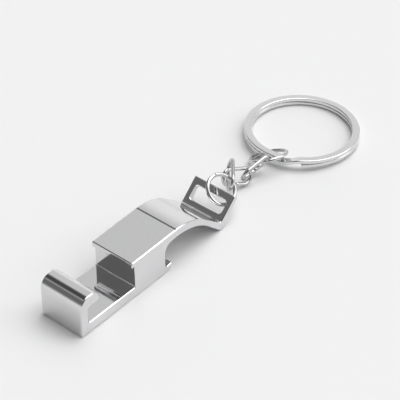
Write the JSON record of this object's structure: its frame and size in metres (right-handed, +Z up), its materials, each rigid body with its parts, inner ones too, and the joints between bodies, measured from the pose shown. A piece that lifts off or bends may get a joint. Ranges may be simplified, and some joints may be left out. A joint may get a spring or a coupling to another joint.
{
  "type": "keychain bottle opener",
  "caption": "Pocket bottle opener with a hooked lip and flat rest that hold a phone, an arched cap mouth, and a short chain to a key ring.",
  "frame": {"origin": "middle of the base bar, halfway from the lip's outer face to the claw's tip and halfway across, on its flat underside", "axes": "+X from the lip towards the key ring, +Y across the body, +Z up from the underside"},
  "size_m": [0.1088, 0.0305, 0.0111],
  "materials": {
    "cast_chrome": "polished plating over a die casting",
    "jump_ring_chrome": "bright plated round wire",
    "chain_chrome": "bright plated round wire",
    "split_ring_nickel": "bright plated flat wire"
  },
  "bodies": {
    "opener": {"opener_body": "cast_chrome"},
    "front_ring": {"front_jump_ring": "jump_ring_chrome"},
    "link_1": {"chain_link_1": "chain_chrome"},
    "link_2": {"chain_link_2": "chain_chrome"},
    "link_3": {"chain_link_3": "chain_chrome"},
    "rear_ring": {"rear_jump_ring": "jump_ring_chrome"},
    "key_ring": {"split_ring": "split_ring_nickel"}
  },
  "joints": [
    {"name": "front_ring_swing", "type": "hinge", "parent": "opener", "child": "front_ring", "pos_m": [0.03915, -0.00165, 0.00621], "axis": [0, 1, 0], "range_deg": [-20, 20]},
    {"name": "link_1_swing", "type": "hinge", "parent": "front_ring", "child": "link_1", "pos_m": [0.04335, -0.00313, 0.00578], "axis": [0.4622, 0.6107, 0.6429], "range_deg": [-12, 30]},
    {"name": "link_2_swing", "type": "hinge", "parent": "link_1", "child": "link_2", "pos_m": [0.04813, 0.00292, 0.00573], "axis": [0.7127, 0.4175, 0.5638], "range_deg": [-30, 6]},
    {"name": "link_3_swing", "type": "hinge", "parent": "link_2", "child": "link_3", "pos_m": [0.05271, 0.00062, 0.00458], "axis": [-0.8068, 0.3018, 0.508], "range_deg": [-30, 5]},
    {"name": "rear_ring_swing", "type": "hinge", "parent": "link_3", "child": "rear_ring", "pos_m": [0.05912, -0.00116, 0.00562], "axis": [-0.7875, -0.2185, 0.5763], "range_deg": [-25, 3]},
    {"name": "key_ring_swing", "type": "hinge", "parent": "rear_ring", "child": "key_ring", "pos_m": [0.06516, -0.00251, 0.00386], "axis": [0.7294, 0.5513, -0.405], "range_deg": [0, 25]}
  ]
}
